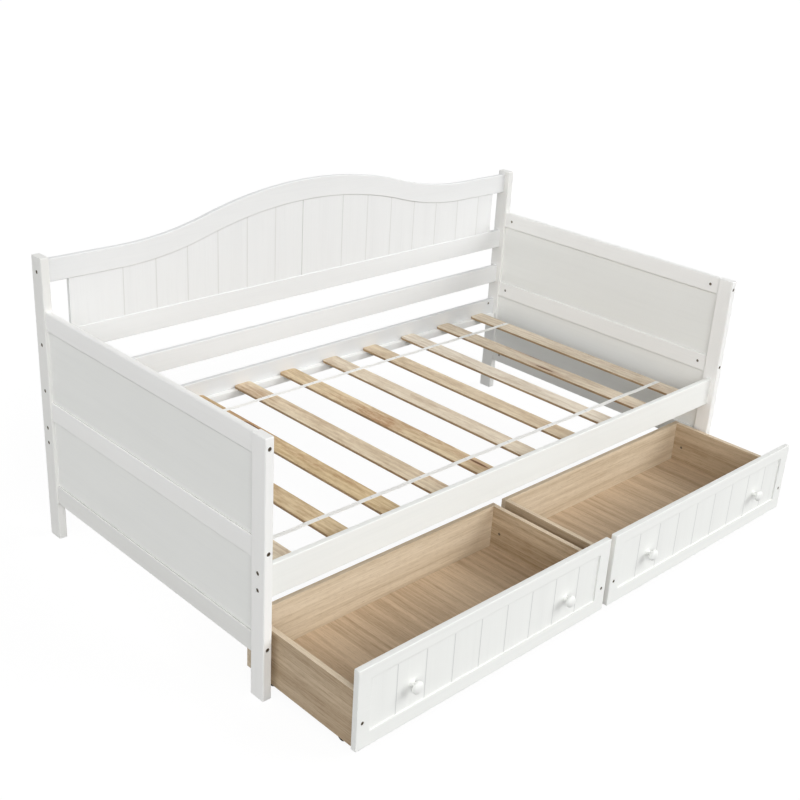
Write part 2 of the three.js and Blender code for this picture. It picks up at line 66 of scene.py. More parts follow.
# %% Camera
CAMERA_PLACE = (-2.5156, -2.3105, 1.9594)
CAMERA_AZIMUTH = 45.01
CAMERA_DOWN = 24.094
CAMERA_ROLL = 3.451
LENS_MM = 53.58
SENSOR_MM = 36


def new_object(name, data):
    """An object in the scene that shows a mesh, a camera or a lamp."""
    made = bpy.data.objects.new(name, data)
    bpy.context.scene.collection.objects.link(made)
    return made


camera_data = bpy.data.cameras.new("front_left_camera")
camera_data.lens = LENS_MM
camera_data.sensor_width = SENSOR_MM
camera = new_object("front_left_camera", camera_data)
camera.matrix_world = (
    Matrix.Translation(CAMERA_PLACE)
    @ Matrix.Rotation(math.radians(-CAMERA_AZIMUTH), 4, "Z")
    @ Matrix.Rotation(math.radians(90 - CAMERA_DOWN), 4, "X")
    @ Matrix.Rotation(math.radians(CAMERA_ROLL), 4, "Z")
)
bpy.context.scene.camera = camera
print("camera looks", CAMERA_DOWN, "degrees down, from", CAMERA_PLACE)

# %% [markdown]
# ## Selecting by code
#
# Operators act on whatever is selected, so each step starts with nothing selected. These helpers
# then pick an object, or the faces or edges of a mesh that pass a test. The test looks at the
# place of a face's middle and at its normal, or at the ends of an edge, as an eye would.

# %% Selection helpers
def deselect():
    if bpy.context.mode != "OBJECT":
        bpy.ops.object.mode_set(mode="OBJECT")
    bpy.ops.object.select_all(action="DESELECT")


def activate(piece):
    deselect()
    piece.select_set(True)
    bpy.context.view_layer.objects.active = piece
    return piece


def edit(piece, faces=None, edges=None):
    """Opens a piece in edit mode with only the faces or the edges selected that pass a test."""
    activate(piece)
    mesh = piece.data
    for element in (*mesh.vertices, *mesh.edges, *mesh.polygons):
        element.select = False
    if faces:
        for face in mesh.polygons:
            face.select = faces(face.center, face.normal)
    if edges:
        for edge in mesh.edges:
            edge.select = edges(*(mesh.vertices[i].co for i in edge.vertices))
    bpy.context.tool_settings.mesh_select_mode = (False, bool(edges), bool(faces))
    bpy.ops.object.mode_set(mode="EDIT")


def edit_all(piece):
    activate(piece)
    bpy.ops.object.mode_set(mode="EDIT")
    bpy.ops.mesh.select_all(action="SELECT")


def done():
    bpy.ops.object.mode_set(mode="OBJECT")
    return bpy.context.active_object


def facing(outward):
    """A test for faces that look one way."""
    return lambda centre, normal: normal.dot(Vector(outward)) > 0.9


def is_along(axis):
    """A test for edges that run along one axis."""
    def test(a, b):
        step = b - a
        return abs(step[axis]) > 0.9 * step.length
    return test


def settle(piece):
    """Puts a piece's place into its mesh, so that its object sits at the origin."""
    activate(piece)
    bpy.ops.object.transform_apply(location=True, rotation=True, scale=True)
    return piece


# %% Primitives at their size and place
def block(name, low, high):
    deselect()
    low, high = Vector(low), Vector(high)
    bpy.ops.mesh.primitive_cube_add(size=1, location=(low + high) / 2, scale=high - low)
    piece = bpy.context.active_object
    piece.name = name
    return settle(piece)


def drum(name, centre, radius, length, axis, sides):
    """A closed cylinder along X, Y or Z."""
    deselect()
    turn = {"X": (0, math.pi / 2, 0), "Y": (math.pi / 2, 0, 0), "Z": (0, 0, 0)}[axis]
    bpy.ops.mesh.primitive_cylinder_add(
        vertices=sides, radius=radius, depth=length, location=centre, rotation=turn
    )
    piece = bpy.context.active_object
    piece.name = name
    return settle(piece)


def smooth(piece, angle=35):
    activate(piece)
    bpy.ops.object.shade_smooth_by_angle(angle=math.radians(angle))
    return piece


def even_faces(piece):
    """Lets the large flat faces set the shading, so that only the narrow round ones turn it."""
    activate(piece)
    weighted = piece.modifiers.new("even_faces", "WEIGHTED_NORMAL")
    weighted.keep_sharp = True
    bpy.ops.object.modifier_apply(modifier=weighted.name)
    return piece


def join(name, pieces):
    """Makes one object of several, under a new name."""
    deselect()
    for piece in pieces:
        piece.select_set(True)
    bpy.context.view_layer.objects.active = pieces[0]
    bpy.ops.object.join()
    joined = bpy.context.active_object
    joined.name = name
    return joined


# %% [markdown]
# ## Wiring nodes by code
#
# The sky, the materials and the effects that they share are networks of nodes. These helpers add
# a node, wire it and do sums. A socket knows the network that it is in, so most helpers need only
# the sockets. Two tell the rays that show a surface itself from those that only carry light on.

# %% Shader node helpers
def node_tree(material):
    material.use_nodes = True
    tree = material.node_tree
    tree.nodes.clear()
    return tree


def add_node(tree, kind, **settings):
    node = tree.nodes.new(kind)
    for key, value in settings.items():
        setattr(node, key, value)
    return node


def wire(start, end):
    start.id_data.links.new(start, end)


def calculate(operation, *values):
    """The result of a Math node. The first value is a socket, the others may be numbers."""
    step = add_node(values[0].id_data, "ShaderNodeMath", operation=operation)
    for socket, value in zip(step.inputs, values):
        if isinstance(value, (int, float)):
            socket.default_value = value
        else:
            wire(value, socket)
    return step.outputs[0]


def seen_directly(tree):
    """1 on the rays that show a surface itself: from the camera, in a gloss or through glass."""
    path = add_node(tree, "ShaderNodeLightPath")
    total = path.outputs["Is Camera Ray"]
    for ray in ("Is Glossy Ray", "Is Transmission Ray"):
        total = calculate("MAXIMUM", total, path.outputs[ray])
    return total


def shown_or_lit(shown, lit):
    """One shader on the rays that show the surface itself, another on the rays that light the bed."""
    choice = add_node(shown.id_data, "ShaderNodeMixShader")
    wire(seen_directly(shown.id_data), choice.inputs["Fac"])
    wire(lit, choice.inputs[1])
    wire(shown, choice.inputs[2])
    return choice.outputs[0]


def put_out(shader, kind="ShaderNodeOutputMaterial"):
    wire(shader, add_node(shader.id_data, kind).inputs["Surface"])


def matt(tree, level):
    shader = add_node(tree, "ShaderNodeBsdfDiffuse")
    shader.inputs["Color"].default_value = (level, level, level, 1)
    return shader.outputs[0]


# %% [markdown]
# ## The stage
#
# The bed stands in a white studio. Two broad lamps stand in front of it, one to the left and a
# stronger one to the right. Between them they light the fronts evenly, and each softens the
# other's shadows. A pale wall on the left lights the bed's end, another one its back, and a
# little light comes from above. The floor is plain and takes up most of the light.
# Where the camera looks straight at the floor or the sky it sees white, and of the bed's shadow
# only a trace, as in a catalogue picture.

# %% Floor
FLOOR_HALF = 30
FLOOR_REFLECTS = 0.2
FLOOR_SHOWS_SHADE = 0.1
FLOOR_GLOW = 0.93

deselect()
bpy.ops.mesh.primitive_plane_add(size=2 * FLOOR_HALF)
floor = bpy.context.active_object
floor.name = "floor"
floor_material = bpy.data.materials.new("studio_floor")
tree = node_tree(floor_material)
glow = add_node(tree, "ShaderNodeEmission")
glow.inputs["Strength"].default_value = FLOOR_GLOW
shown = add_node(tree, "ShaderNodeAddShader")
wire(matt(tree, FLOOR_SHOWS_SHADE), shown.inputs[0])
wire(glow.outputs[0], shown.inputs[1])
put_out(shown_or_lit(shown.outputs[0], matt(tree, FLOOR_REFLECTS)))
floor.data.materials.append(floor_material)
print("floor reflects", FLOOR_REFLECTS)

# %% Sky
SKY_EVEN = 0.02
SKY_SIDES = {"left": ((-1, 0, 0), 5, 2.08), "back": ((0, 1, 0), 5, 1.5), "top": ((0, 0, 1), 1, 0.17)}

world = bpy.data.worlds.new("studio")
bpy.context.scene.world = world
tree = node_tree(world)
direction = add_node(tree, "ShaderNodeTexCoord").outputs["Generated"]
brightness = SKY_EVEN
for towards, narrowness, strength in SKY_SIDES.values():
    alignment = add_node(tree, "ShaderNodeVectorMath", operation="DOT_PRODUCT")
    wire(direction, alignment.inputs[0])
    alignment.inputs[1].default_value = towards
    in_front = calculate("MAXIMUM", alignment.outputs["Value"], 0)
    narrowed = calculate("POWER", in_front, narrowness)
    brightness = calculate("MULTIPLY_ADD", narrowed, strength, brightness)
backdrop, fill = (add_node(tree, "ShaderNodeBackground") for _ in range(2))
for white in (backdrop, fill):
    white.inputs["Color"].default_value = (1, 1, 1, 1)
wire(brightness, fill.inputs["Strength"])
put_out(shown_or_lit(backdrop.outputs[0], fill.outputs[0]), "ShaderNodeOutputWorld")
bpy.context.scene.view_settings.view_transform = "Standard"
print("sky strength:", SKY_EVEN, "and more towards", ", ".join(SKY_SIDES))

# %% Lamps
LAMP_SOFTNESS = 40
LAMPS = {"front_left_lamp": ((-0.44, -0.76, 0.47), 1.5), "front_right_lamp": ((0.68, -0.57, 0.47), 2.05)}

for name, (comes_from, strength) in LAMPS.items():
    lamp_data = bpy.data.lights.new(name, "SUN")
    lamp_data.energy = strength
    lamp_data.angle = math.radians(LAMP_SOFTNESS)
    lamp = new_object(name, lamp_data)
    lamp.rotation_euler = (-Vector(comes_from)).to_track_quat("-Z", "Y").to_euler()
    print(name, strength, "from", comes_from)

# %% [markdown]
# ## Effects that the materials share
#
# Paint, pine and veneer each are one effect that many pieces use, so each is a node group with
# its own inputs. A group reads a place in the wood whose X runs along the grain. Every material
# turns the object's coordinates that way with a Mapping node, and shifts them, so that no two
# boards show the same grain.

# %% Node group helpers
def new_group(name, inputs, outputs):
    group = bpy.data.node_groups.new(name, "ShaderNodeTree")
    for in_out, sockets in (("INPUT", inputs), ("OUTPUT", outputs)):
        for label, kind in sockets:
            group.interface.new_socket(name=label, in_out=in_out, socket_type="NodeSocket" + kind)
    start = group.nodes.new("NodeGroupInput")
    end = group.nodes.new("NodeGroupOutput")
    return group, start, end


def stretched(vector, per_metre):
    """Coordinates times so much per metre along X, Y and Z."""
    scale = add_node(vector.id_data, "ShaderNodeVectorMath", operation="MULTIPLY")
    wire(vector, scale.inputs[0])
    scale.inputs[1].default_value = per_metre
    return scale.outputs[0]


def noise(vector, per_metre, detail, roughness=0.5):
    texture = add_node(vector.id_data, "ShaderNodeTexNoise")
    wire(stretched(vector, per_metre), texture.inputs["Vector"])
    texture.inputs["Scale"].default_value = 1
    texture.inputs["Detail"].default_value = detail
    texture.inputs["Roughness"].default_value = roughness
    return texture.outputs["Fac"]


def spread(value, low, high, to_low=0.0, to_high=1.0):
    """Spreads the values from low to high over to_low to to_high, with soft ends."""
    ramp = add_node(value.id_data, "ShaderNodeMapRange", interpolation_type="SMOOTHSTEP")
    wire(value, ramp.inputs["Value"])
    for label, number in zip(("From Min", "From Max", "To Min", "To Max"), (low, high, to_low, to_high)):
        ramp.inputs[label].default_value = number
    return ramp.outputs["Result"]


def sum_of(parts):
    """Adds up values, each times its weight."""
    total = 0
    for value, weight in parts:
        total = calculate("MULTIPLY_ADD", value, weight, total)
    return total


def product(first, second):
    return calculate("MULTIPLY", first, second)


def mixed(share, first, second):
    """Mixes two colours by a share. A colour may be a socket or three numbers."""
    mix = add_node(share.id_data, "ShaderNodeMix", data_type="RGBA")
    colours = [socket for socket in mix.inputs if socket.type == "RGBA"]
    for socket, value in zip(colours, (first, second)):
        if isinstance(value, tuple):
            socket.default_value = (*value, 1)
        else:
            wire(value, socket)
    wire(share, mix.inputs["Factor"])
    return [socket for socket in mix.outputs if socket.type == "RGBA"][0]


# %% [markdown]
# ### Paint over wood
#
# The bed is painted, but the wood still shows through a little: faint streaks along the grain,
# a fine stipple from the roller, and here and there a patch that took the paint more thinly.
# All of it is faint, because at a step's distance the paint reads as one even satin white.
# The back is written a shade greyer than the front, and the low rear rail and the walls of the
# grooves greyer again: painted shade. The front posts, the arms' upper rails and the ledgers are
# written whitest, a painted highlight, and the rear posts and the arms' bottom rails a little
# greyer than the rest, painted shade.

# %% Group for painted wood
tree, start, end = new_group(
    "painted_wood",
    [("Vector", "Vector"), ("Paint", "Color"), ("Thin", "Color"), ("Streaks", "Float")],
    [("Color", "Color"), ("Roughness", "Float"), ("Height", "Float")],
)
place = start.outputs["Vector"]
streak = noise(place, (5, 210, 210), detail=4, roughness=0.62)
band = noise(place, (1.6, 26, 26), detail=2)
stipple = noise(place, (900, 900, 900), detail=1)
patch = noise(place, (3, 5, 5), detail=2)
thinness = sum_of([(spread(streak, 0.45, 0.8), 0.6), (spread(band, 0.45, 0.75), 0.4)])
share = product(thinness, start.outputs["Streaks"])
paint = mixed(share, start.outputs["Paint"], start.outputs["Thin"])
wire(paint, end.inputs["Color"])
wire(spread(patch, 0.3, 0.7, 0.36, 0.5), end.inputs["Roughness"])
relief = sum_of([(streak, 0.6), (stipple, 0.25), (band, 0.15)])
wire(relief, end.inputs["Height"])
print(tree.name, len(tree.nodes), "nodes")
paint_group = tree

# %% [markdown]
# ### Pine
#
# A slat is sawn from a trunk, so its face cuts the year rings at a flat angle and shows them as
# long soft bands. Rings round an axis that lies just below the board give that, once they are
# bent a little along the board. A broad mottle lies over them, and the heart of the tree shows
# as reddish streaks. Here and there sits a small dark knot that the grain flows around.

# %% Group for bare pine
RINGS_PER_METRE = 21
tree, start, end = new_group(
    "bare_pine",
    [("Vector", "Vector"), ("Early", "Color"), ("Late", "Color"), ("Heart", "Color"), ("Knot", "Color"),
     ("Redness", "Float"), ("Knots", "Float")],
    [("Color", "Color"), ("Roughness", "Float"), ("Height", "Float")],
)
place = start.outputs["Vector"]
knot_cells = add_node(tree, "ShaderNodeTexVoronoi", voronoi_dimensions="2D")
knot_cells.inputs["Scale"].default_value = 1
wire(stretched(place, (1.6, 13, 1)), knot_cells.inputs["Vector"])
has_knot = calculate("GREATER_THAN", start.outputs["Knots"], knot_cells.outputs["Color"])
near_knot = knot_cells.outputs["Distance"]
knot_core = product(spread(near_knot, 0.085, 0.045), has_knot)
knot_flow = product(spread(near_knot, 0.3, 0.05), has_knot)
wander = noise(place, (1.5, 3, 3), detail=2)
push = sum_of([(wander, 0.08), (knot_flow, 0.03)])
lifted = add_node(tree, "ShaderNodeCombineXYZ")
wire(push, lifted.inputs["Z"])
bent = add_node(tree, "ShaderNodeVectorMath", operation="ADD")
wire(stretched(place, (0.05, 1, 1)), bent.inputs[0])
wire(lifted.outputs[0], bent.inputs[1])
rings = add_node(tree, "ShaderNodeTexWave", wave_type="RINGS", rings_direction="X", wave_profile="SAW")
rings.inputs["Scale"].default_value = RINGS_PER_METRE
rings.inputs["Distortion"].default_value = 0.8
rings.inputs["Detail"].default_value = 2
rings.inputs["Detail Scale"].default_value = 1.5
wire(bent.outputs[0], rings.inputs["Vector"])
fibre = noise(place, (9, 520, 520), detail=3, roughness=0.6)
mottle = noise(place, (7, 34, 34), detail=4, roughness=0.62)
fleck = spread(noise(place, (26, 120, 120), detail=3, roughness=0.7), 0.42, 0.62)
late = sum_of([(spread(rings.outputs["Fac"], 0.2, 1.0), 0.26), (spread(fibre, 0.35, 0.7), 0.16),
               (fleck, 0.26), (spread(mottle, 0.38, 0.64), 0.42)])
wood = mixed(late, start.outputs["Early"], start.outputs["Late"])
heart = spread(noise(place, (2.1, 13, 13), detail=4, roughness=0.6), 0.46, 0.66)
heart = product(heart, sum_of([(fleck, 0.5), (heart, 0.5)]))
wood = mixed(product(heart, start.outputs["Redness"]), wood, start.outputs["Heart"])
wood = mixed(product(knot_flow, 0.4), wood, start.outputs["Heart"])
wood = mixed(knot_core, wood, start.outputs["Knot"])
wire(wood, end.inputs["Color"])
wire(spread(fibre, 0.3, 0.7, 0.55, 0.72), end.inputs["Roughness"])
relief = sum_of([(fibre, 0.5), (rings.outputs["Fac"], 0.35), (knot_core, -0.4)])
wire(relief, end.inputs["Height"])
print(tree.name, len(tree.nodes), "nodes")
pine_group = tree

# %% [markdown]
# ### Veneer
#
# The drawers are boxes of board with a pale oak face. It is straight and even: fine dark and
# light lines that run the whole length, soft broader bands, and short dark pores. The back is
# written paler and the sides and the bottom a shade darker, as painted light and shade on one
# veneer, and the sides' upward faces paler still, as a painted highlight on their upper edge.

# %% Group for veneer
tree, start, end = new_group(
    "oak_veneer",
    [("Vector", "Vector"), ("Pale", "Color"), ("Line", "Color"), ("Pore", "Color")],
    [("Color", "Color"), ("Roughness", "Float"), ("Height", "Float")],
)
place = start.outputs["Vector"]
line = noise(place, (2.2, 330, 330), detail=4, roughness=0.65)
band = noise(place, (0.9, 42, 42), detail=3, roughness=0.55)
pore = noise(place, (38, 1500, 1500), detail=1)
fleck = noise(place, (16, 170, 170), detail=3, roughness=0.7)
share = sum_of([(spread(line, 0.34, 0.7), 0.32), (spread(fleck, 0.44, 0.66), 0.26),
                (spread(band, 0.36, 0.66), 0.5)])
wood = mixed(share, start.outputs["Pale"], start.outputs["Line"])
pores = spread(pore, 0.6, 0.74, 0, 0.5)
wood = mixed(pores, wood, start.outputs["Pore"])
wire(wood, end.inputs["Color"])
wire(spread(line, 0.3, 0.7, 0.48, 0.62), end.inputs["Roughness"])
wire(sum_of([(line, 0.7), (pores, -0.6)]), end.inputs["Height"])
print(tree.name, len(tree.nodes), "nodes")
veneer_group = tree

# %% [markdown]
# ### Woven tape
#
# The tapes are a plain weave of thick thread. Two waves across each other give the rows of
# stitches, one high where the other is low, and a little noise keeps them from looking printed.
# The low places take a darker colour, painted shade between the threads.

# %% Group for woven tape
tree, start, end = new_group(
    "woven_tape",
    [("Vector", "Vector"), ("Thread", "Color"), ("Gap", "Color"), ("Threads per Metre", "Float")],
    [("Color", "Color"), ("Height", "Float")],
)
waves = []
for direction in ("X", "Y"):
    wave = add_node(tree, "ShaderNodeTexWave", wave_type="BANDS", bands_direction=direction)
    wire(start.outputs["Vector"], wave.inputs["Vector"])
    wire(start.outputs["Threads per Metre"], wave.inputs["Scale"])
    waves.append(wave.outputs["Fac"])
crossing = product(*waves)
yarn = noise(start.outputs["Vector"], (1500, 1500, 1500), detail=2)
height = sum_of([(crossing, 0.8), (yarn, 0.2)])
wire(height, end.inputs["Height"])
# Painted shade: the low places of the weave take the darker colour.
cloth = mixed(spread(height, 0.1, 0.5), start.outputs["Gap"], start.outputs["Thread"])
wire(cloth, end.inputs["Color"])
print(tree.name, len(tree.nodes), "nodes")
weave_group = tree

# %% [markdown]
# ## Materials
#
# A colour is written as it looks on screen, from 0 to 255, and turned into Blender's linear
# numbers in one place. Each material holds its own Principled shader, because the shared groups
# only give it colours, roughness and height.

# %% Material helpers
GRAIN_TURNS = {"X": (0, 0, 0), "Y": (0, 0, -math.pi / 2), "Z": (0, math.pi / 2, 0)}
CLOTH_ROUGHNESS = 0.85


def colour(red, green, blue):
    def linear(level):
        share = level / 255
        return share / 12.92 if share <= 0.04045 else ((share + 0.055) / 1.055) ** 2.4
    return tuple(linear(level) for level in (red, green, blue))


def raise_surface(shader, height, relief):
    """Turns the shader's normal as a relief of this height would."""
    bump = add_node(shader.id_data, "ShaderNodeBump")
    bump.inputs["Distance"].default_value = relief
    wire(height, bump.inputs["Height"])
    wire(bump.outputs["Normal"], shader.inputs["Normal"])


def grained(name, group, grain, values, relief, gloss, shift=(0, 0, 0)):
    """A material from a shared effect. grain is the axis that the grain runs along."""
    material = bpy.data.materials.new(name)
    tree = node_tree(material)
    place = add_node(tree, "ShaderNodeTexCoord")
    turn = add_node(tree, "ShaderNodeMapping")
    turn.inputs["Rotation"].default_value = GRAIN_TURNS[grain]
    turn.inputs["Location"].default_value = shift
    wire(place.outputs["Object"], turn.inputs["Vector"])
    effect = add_node(tree, "ShaderNodeGroup", node_tree=group)
    wire(turn.outputs["Vector"], effect.inputs["Vector"])
    for label, value in values.items():
        effect.inputs[label].default_value = (*value, 1) if isinstance(value, tuple) else value
    shader = add_node(tree, "ShaderNodeBsdfPrincipled")
    wire(effect.outputs["Color"], shader.inputs["Base Color"])
    if "Roughness" in effect.outputs:
        wire(effect.outputs["Roughness"], shader.inputs["Roughness"])
    else:
        shader.inputs["Roughness"].default_value = CLOTH_ROUGHNESS
    shader.inputs["Specular IOR Level"].default_value = gloss
    raise_surface(shader, effect.outputs["Height"], relief)
    put_out(shader.outputs[0])
    return material


def dress(piece, material):
    piece.data.materials.clear()
    piece.data.materials.append(material)
    return piece


# %% White paint
PAINT = colour(244, 245, 242)
# The back's and the rear rail's coats are greyer than PAINT: painted shade.
BACK_PAINT_IN_SHADE = colour(235, 236, 236)
REAR_RAIL_PAINT_IN_SHADE = colour(228, 229, 229)
# Painted shade and a painted highlight: the first coat below is greyer than PAINT, the second whiter.
SHADE_DIMMED_PAINT = colour(239, 239, 236)
HIGHLIGHT_PAINT = colour(251, 251, 249)
# Painted shade in the V grooves: a greyer coat on their walls.
GROOVE_SHADE_PAINT = colour(222, 223, 221)
THIN_SHARE = 0.88


def paint_coat(name, grain, full, streaks=0.3):
    """Paint whose thin places are a share darker."""
    thin = tuple(THIN_SHARE * part for part in full)
    return grained(
        f"white_paint_{name}", paint_group, grain,
        {"Paint": full, "Thin": thin, "Streaks": streaks}, relief=0.0001, gloss=0.4,
    )


paints = {grain: paint_coat(f"along_{grain.lower()}", grain, PAINT) for grain in "XYZ"}
highlight_paints = {grain: paint_coat(f"bright_along_{grain.lower()}", grain, HIGHLIGHT_PAINT) for grain in "XYZ"}
shade_dimmed_paints = {grain: paint_coat(f"dull_along_{grain.lower()}", grain, SHADE_DIMMED_PAINT) for grain in "YZ"}
board_paint = paint_coat("on_boards", "Z", PAINT, streaks=0.4)
back_paint_in_shade = paint_coat("on_the_back", "X", BACK_PAINT_IN_SHADE)
back_board_paint_in_shade = paint_coat("on_the_back_boards", "Z", BACK_PAINT_IN_SHADE, streaks=0.4)
rear_rail_paint_in_shade = paint_coat("on_the_rear_rail", "X", REAR_RAIL_PAINT_IN_SHADE)
groove_shade_paint = paint_coat("in_grooves", "Z", GROOVE_SHADE_PAINT, streaks=0.0)
print("paints:", sum(material.name.startswith("white_paint") for material in bpy.data.materials))

# %% [markdown]
# No two slats look alike. Each one's tone is given: how pale it is, how red its heart wood, and
# how often a knot shows. The shift gives each its own stretch of trunk. The side faces are
# browner than the planed top, on all slats alike: partly the sawn wood's own colour, partly
# painted shade.

# %% Pine for the slats
PINE_EARLY = colour(230, 206, 163)
PINE_LATE = colour(180, 147, 102)
PALE_EARLY = colour(249, 239, 222)
PALE_LATE = colour(210, 193, 170)
# The sides' tones: partly the sawn wood's own colour, partly painted shade.
SAWN_AND_SHADED_EARLY = colour(186, 158, 122)
SAWN_AND_SHADED_LATE = colour(150, 120, 86)
PINE_HEART = colour(168, 119, 78)
PINE_KNOT = colour(112, 74, 44)
SLAT_SHIFT = Vector((1.37, 0.031, 0.0))
slat_paleness = [0.7, 0.15, 0.05, 0.5, 0.25, 0.75, 0.5, 1.0, 0.75, 0.85]
slat_redness = [0.2, 0.3, 0.55, 0.35, 0.75, 0.2, 0.35, 0.15, 0.3, 0.3]
slat_knots = [0.3, 0.35, 0.4, 0.35, 0.55, 0.3, 0.35, 0.2, 0.45, 0.3]


def between(first, second, share):
    return tuple(a + (b - a) * share for a, b in zip(first, second))


pines = []
choices = zip(slat_paleness, slat_redness, slat_knots)
for number, (paleness, redness, knots) in enumerate(choices, start=1):
    pines.append(grained(
        f"pine_{number:02d}", pine_group, "Y",
        {
            "Early": between(PINE_EARLY, PALE_EARLY, paleness),
            "Late": between(PINE_LATE, PALE_LATE, paleness),
            "Heart": PINE_HEART,
            "Knot": PINE_KNOT,
            "Redness": redness,
            "Knots": knots,
        },
        relief=0.0003, gloss=0.3, shift=SLAT_SHIFT * number,
    ))
pine_edge = grained(
    "pine_edge", pine_group, "Y",
    {"Early": SAWN_AND_SHADED_EARLY, "Late": SAWN_AND_SHADED_LATE, "Heart": PINE_HEART, "Knot": PINE_KNOT,
     "Redness": 0.2, "Knots": 0.2}, relief=0.0003, gloss=0.3,
)
print("pine boards:", len(pines))

# %% [markdown]
# The other finishes are few. The veneer comes in four tones. Nuts, bolts and castors are small,
# so a plain colour with fine specks does for them: dull steel, browned steel, zinc, black plastic.

# %% Veneer and tape
def veneer(name, grain, pale, line, pore):
    return grained(
        f"oak_veneer_{name}", veneer_group, grain,
        {"Pale": colour(*pale), "Line": colour(*line), "Pore": colour(*pore)}, relief=0.00015, gloss=0.35,
    )


veneers = {
    # Painted light on the veneer: the back is the paler copy, the sides and the bottom darker copies as painted
    # shade, and the edge tone paler still as a painted highlight.
    "back": veneer("back", "X", (226, 211, 188), (192, 172, 144), (152, 126, 98)),
    "side": veneer("side", "Y", (210, 190, 162), (160, 136, 107), (122, 98, 74)),
    "edge": veneer("edge", "Y", (232, 216, 192), (206, 186, 158), (158, 132, 104)),
    "bottom": veneer("bottom", "Y", (220, 198, 170), (176, 151, 122), (132, 106, 80)),
}
tape_material = grained(
    "white_tape", weave_group, "X",
    {"Thread": colour(255, 255, 253), "Gap": colour(246, 245, 241), "Threads per Metre": 220.0},
    relief=0.0003, gloss=0.2,
)
print("veneers:", ", ".join(veneers))

# %% Plastic and metal
SPECK_RELIEF = 0.05 * MM


def speckled(name, base, worn, metallic, roughness, speck_per_metre):
    """A plain moulded or metal finish with fine specks and a roughness that varies."""
    material = bpy.data.materials.new(name)
    tree = node_tree(material)
    place = add_node(tree, "ShaderNodeTexCoord").outputs["Object"]
    speck = noise(place, (speck_per_metre,) * 3, detail=2)
    shader = add_node(tree, "ShaderNodeBsdfPrincipled")
    wire(mixed(spread(speck, 0.45, 0.7), base, worn), shader.inputs["Base Color"])
    wire(spread(speck, 0.3, 0.7, roughness - 0.06, roughness + 0.1), shader.inputs["Roughness"])
    shader.inputs["Metallic"].default_value = metallic
    raise_surface(shader, speck, SPECK_RELIEF)
    put_out(shader.outputs[0])
    return material


nut_steel = speckled("nut_steel", colour(128, 118, 106), colour(92, 84, 74), 0.7, 0.45, 1200)
plastic = speckled("castor_plastic", colour(20, 19, 19), colour(30, 29, 28), 0.0, 0.45, 1400)
browned_steel = speckled("browned_steel", colour(84, 73, 57), colour(108, 96, 78), 0.5, 0.45, 1100)
zinc = speckled("zinc_plate", colour(186, 186, 182), colour(150, 148, 142), 1.0, 0.34, 1300)
print("materials so far:", len(bpy.data.materials))

# %% [markdown]
# ## Paint on the frame's own boards
#
# A board whose shape is right keeps its place in the frame and only takes a material. The backs
# of the drawers are such pieces. The rounded boards are made of flat facets in the frame, so
# each gets a copy with its corners merged and shaded smooth. Four things are done to the copies.
# Paint fills the gap round a thin panel, so the panel grows by that much. The walls of the V
# grooves between the boards take a darker coat, painted shade in the grooves. The drawers' sides
# take a paler veneer on their upward faces, a painted highlight on the upper edge. And the
# opening in a drawer's front has a round edge.

# %% Boards that stay
for side in ("left", "right"):
    dress(nodes[f"{side}_drawer_back"], veneers["back"])
print("boards dressed as they are: 2")

# %% Copy a board and shade it smooth
TOUCHING = 0.01 * MM
FLAT_ANGLE = math.radians(0.5)


def stand_for(piece, body, node):
    """Sets a piece on its body, in place of a node of the frame."""
    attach(piece, body)
    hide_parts(node)


def finish_board(piece):
    return even_faces(smooth(piece, angle=40))


def smooth_board(node, name, body, material):
    """A merged, smooth-shaded copy of a frame board, which then stands for it."""
    piece = new_object(name, nodes[node].data.copy())
    edit_all(piece)
    bpy.ops.mesh.remove_doubles(threshold=TOUCHING)
    bpy.ops.mesh.dissolve_limited(angle_limit=FLAT_ANGLE)
    bpy.ops.mesh.normals_make_consistent(inside=False)
    done()
    dress(piece, material)
    stand_for(piece, body, node)
    return finish_board(piece)


# %% Paint in gaps, grooves and edges
PAINT_IN_GAP = 0.28 * MM
TILTED = 0.3


def fill_gap(piece, axis):
    """Thickens a thin panel by the paint that fills the gap between it and its frame."""
    growth = [1, 1, 1]
    growth[axis] += 2 * PAINT_IN_GAP / piece.dimensions[axis]
    centre = (Vector(piece.bound_box[0]) + Vector(piece.bound_box[6])) / 2
    edit_all(piece)
    bpy.ops.transform.resize(value=growth, center_override=centre)
    return done()


def second_coat(piece, material, looks_that_way):
    """Gives another material to the faces whose normal passes a test."""
    piece.data.materials.append(material)
    for face in piece.data.polygons:
        if looks_that_way(face.normal):
            face.material_index = 1


def shade_grooves(piece):
    """Gives the walls of a board's V grooves a darker coat, painted shade in the grooves."""
    second_coat(piece, groove_shade_paint, lambda normal: abs(normal.x) > TILTED and normal.y < -TILTED)


def upper_edge_highlight(piece):
    """Gives the upward faces of a drawer's side a paler veneer, a painted highlight on the upper edge."""
    second_coat(piece, veneers["edge"], lambda normal: normal.z > TILTED)


# %% Round the opening in a drawer's front
OPENING_ROUND = 2.2 * MM
FRAME_RIM = 20 * MM
NEAR = 0.1 * MM


def round_opening(piece):
    """Rounds the front edges of the opening in a drawer's front frame."""
    low, high = (Vector(corner) for corner in (piece.bound_box[0], piece.bound_box[6]))

    def inside(point):
        return all(low[i] + FRAME_RIM < point[i] < high[i] - FRAME_RIM for i in (0, 2))

    def on_face(point):
        return abs(point.y - low.y) < NEAR

    def is_rim(a, b):
        return all(on_face(end) and inside(end) for end in (a, b)) and (b - a).length > 3 * FRAME_RIM

    edit(piece, edges=is_rim)
    bpy.ops.mesh.bevel(offset=OPENING_ROUND, segments=3, affect="EDGES")
    done()
    return finish_board(piece)


